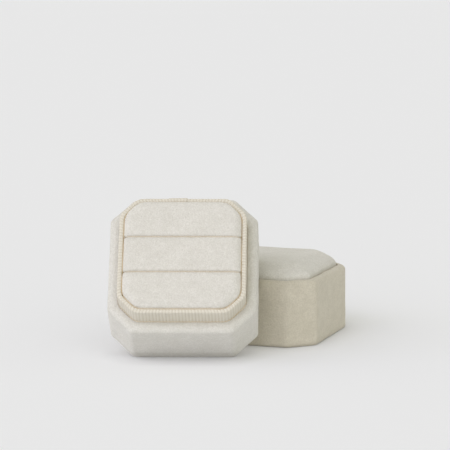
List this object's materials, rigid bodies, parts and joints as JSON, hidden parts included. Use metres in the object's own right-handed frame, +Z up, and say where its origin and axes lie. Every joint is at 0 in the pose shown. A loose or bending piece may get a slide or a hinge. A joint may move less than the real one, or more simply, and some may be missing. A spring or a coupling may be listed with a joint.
{
  "type": "ring box",
  "caption": "Octagonal two-piece velvet ring box with a ribboned collar, a slotted ring cushion and a lift-off padded lid.",
  "frame": {"origin": "on the floor, under the centre of the box that holds the tipped base and the lid", "axes": "+Z up; -Y is the side the open base faces; +X to the right of a viewer who looks along +Y"},
  "size_m": [0.0916, 0.105, 0.0607],
  "materials": {
    "ivory_velvet": "short-pile velvet",
    "cream_ribbon": "ribbed grosgrain ribbon",
    "ivory_lining": "flat flocked lining",
    "grey_board": "rigid board, matte",
    "white_card": "matte card",
    "white_foam": "open-cell foam"
  },
  "bodies": {
    "base": {"base_bottom_cover": "ivory_lining", "base_velvet_wrap": "ivory_velvet", "base_wall_board": "grey_board", "base_floor_board": "grey_board", "collar_board": "white_card", "collar_ribbon": "cream_ribbon"},
    "cushion": {"cushion_card": "white_card", "cushion_velvet_front": "ivory_velvet", "cushion_foam_front": "white_foam", "cushion_velvet_middle": "ivory_velvet", "cushion_foam_middle": "white_foam", "cushion_velvet_back": "ivory_velvet", "cushion_foam_back": "white_foam"},
    "lid": {"lid_velvet_wrap": "ivory_velvet", "lid_wall_board": "grey_board", "lid_wall_lining": "ivory_lining", "lid_top_board": "grey_board", "lid_top_velvet": "ivory_velvet", "lid_top_foam": "white_foam", "lid_ceiling_velvet": "ivory_velvet", "lid_ceiling_foam": "white_foam"}
  },
  "joints": [
    {"name": "cushion_lift", "type": "slide", "parent": "base", "child": "cushion", "axis": [0, -0.8059, 0.592], "range_m": [0, 0.03]},
    {"name": "lid_lift", "type": "slide", "parent": "base", "child": "lid", "axis": [0, 0.592, 0.8059], "range_m": [0, 0.06]}
  ]
}
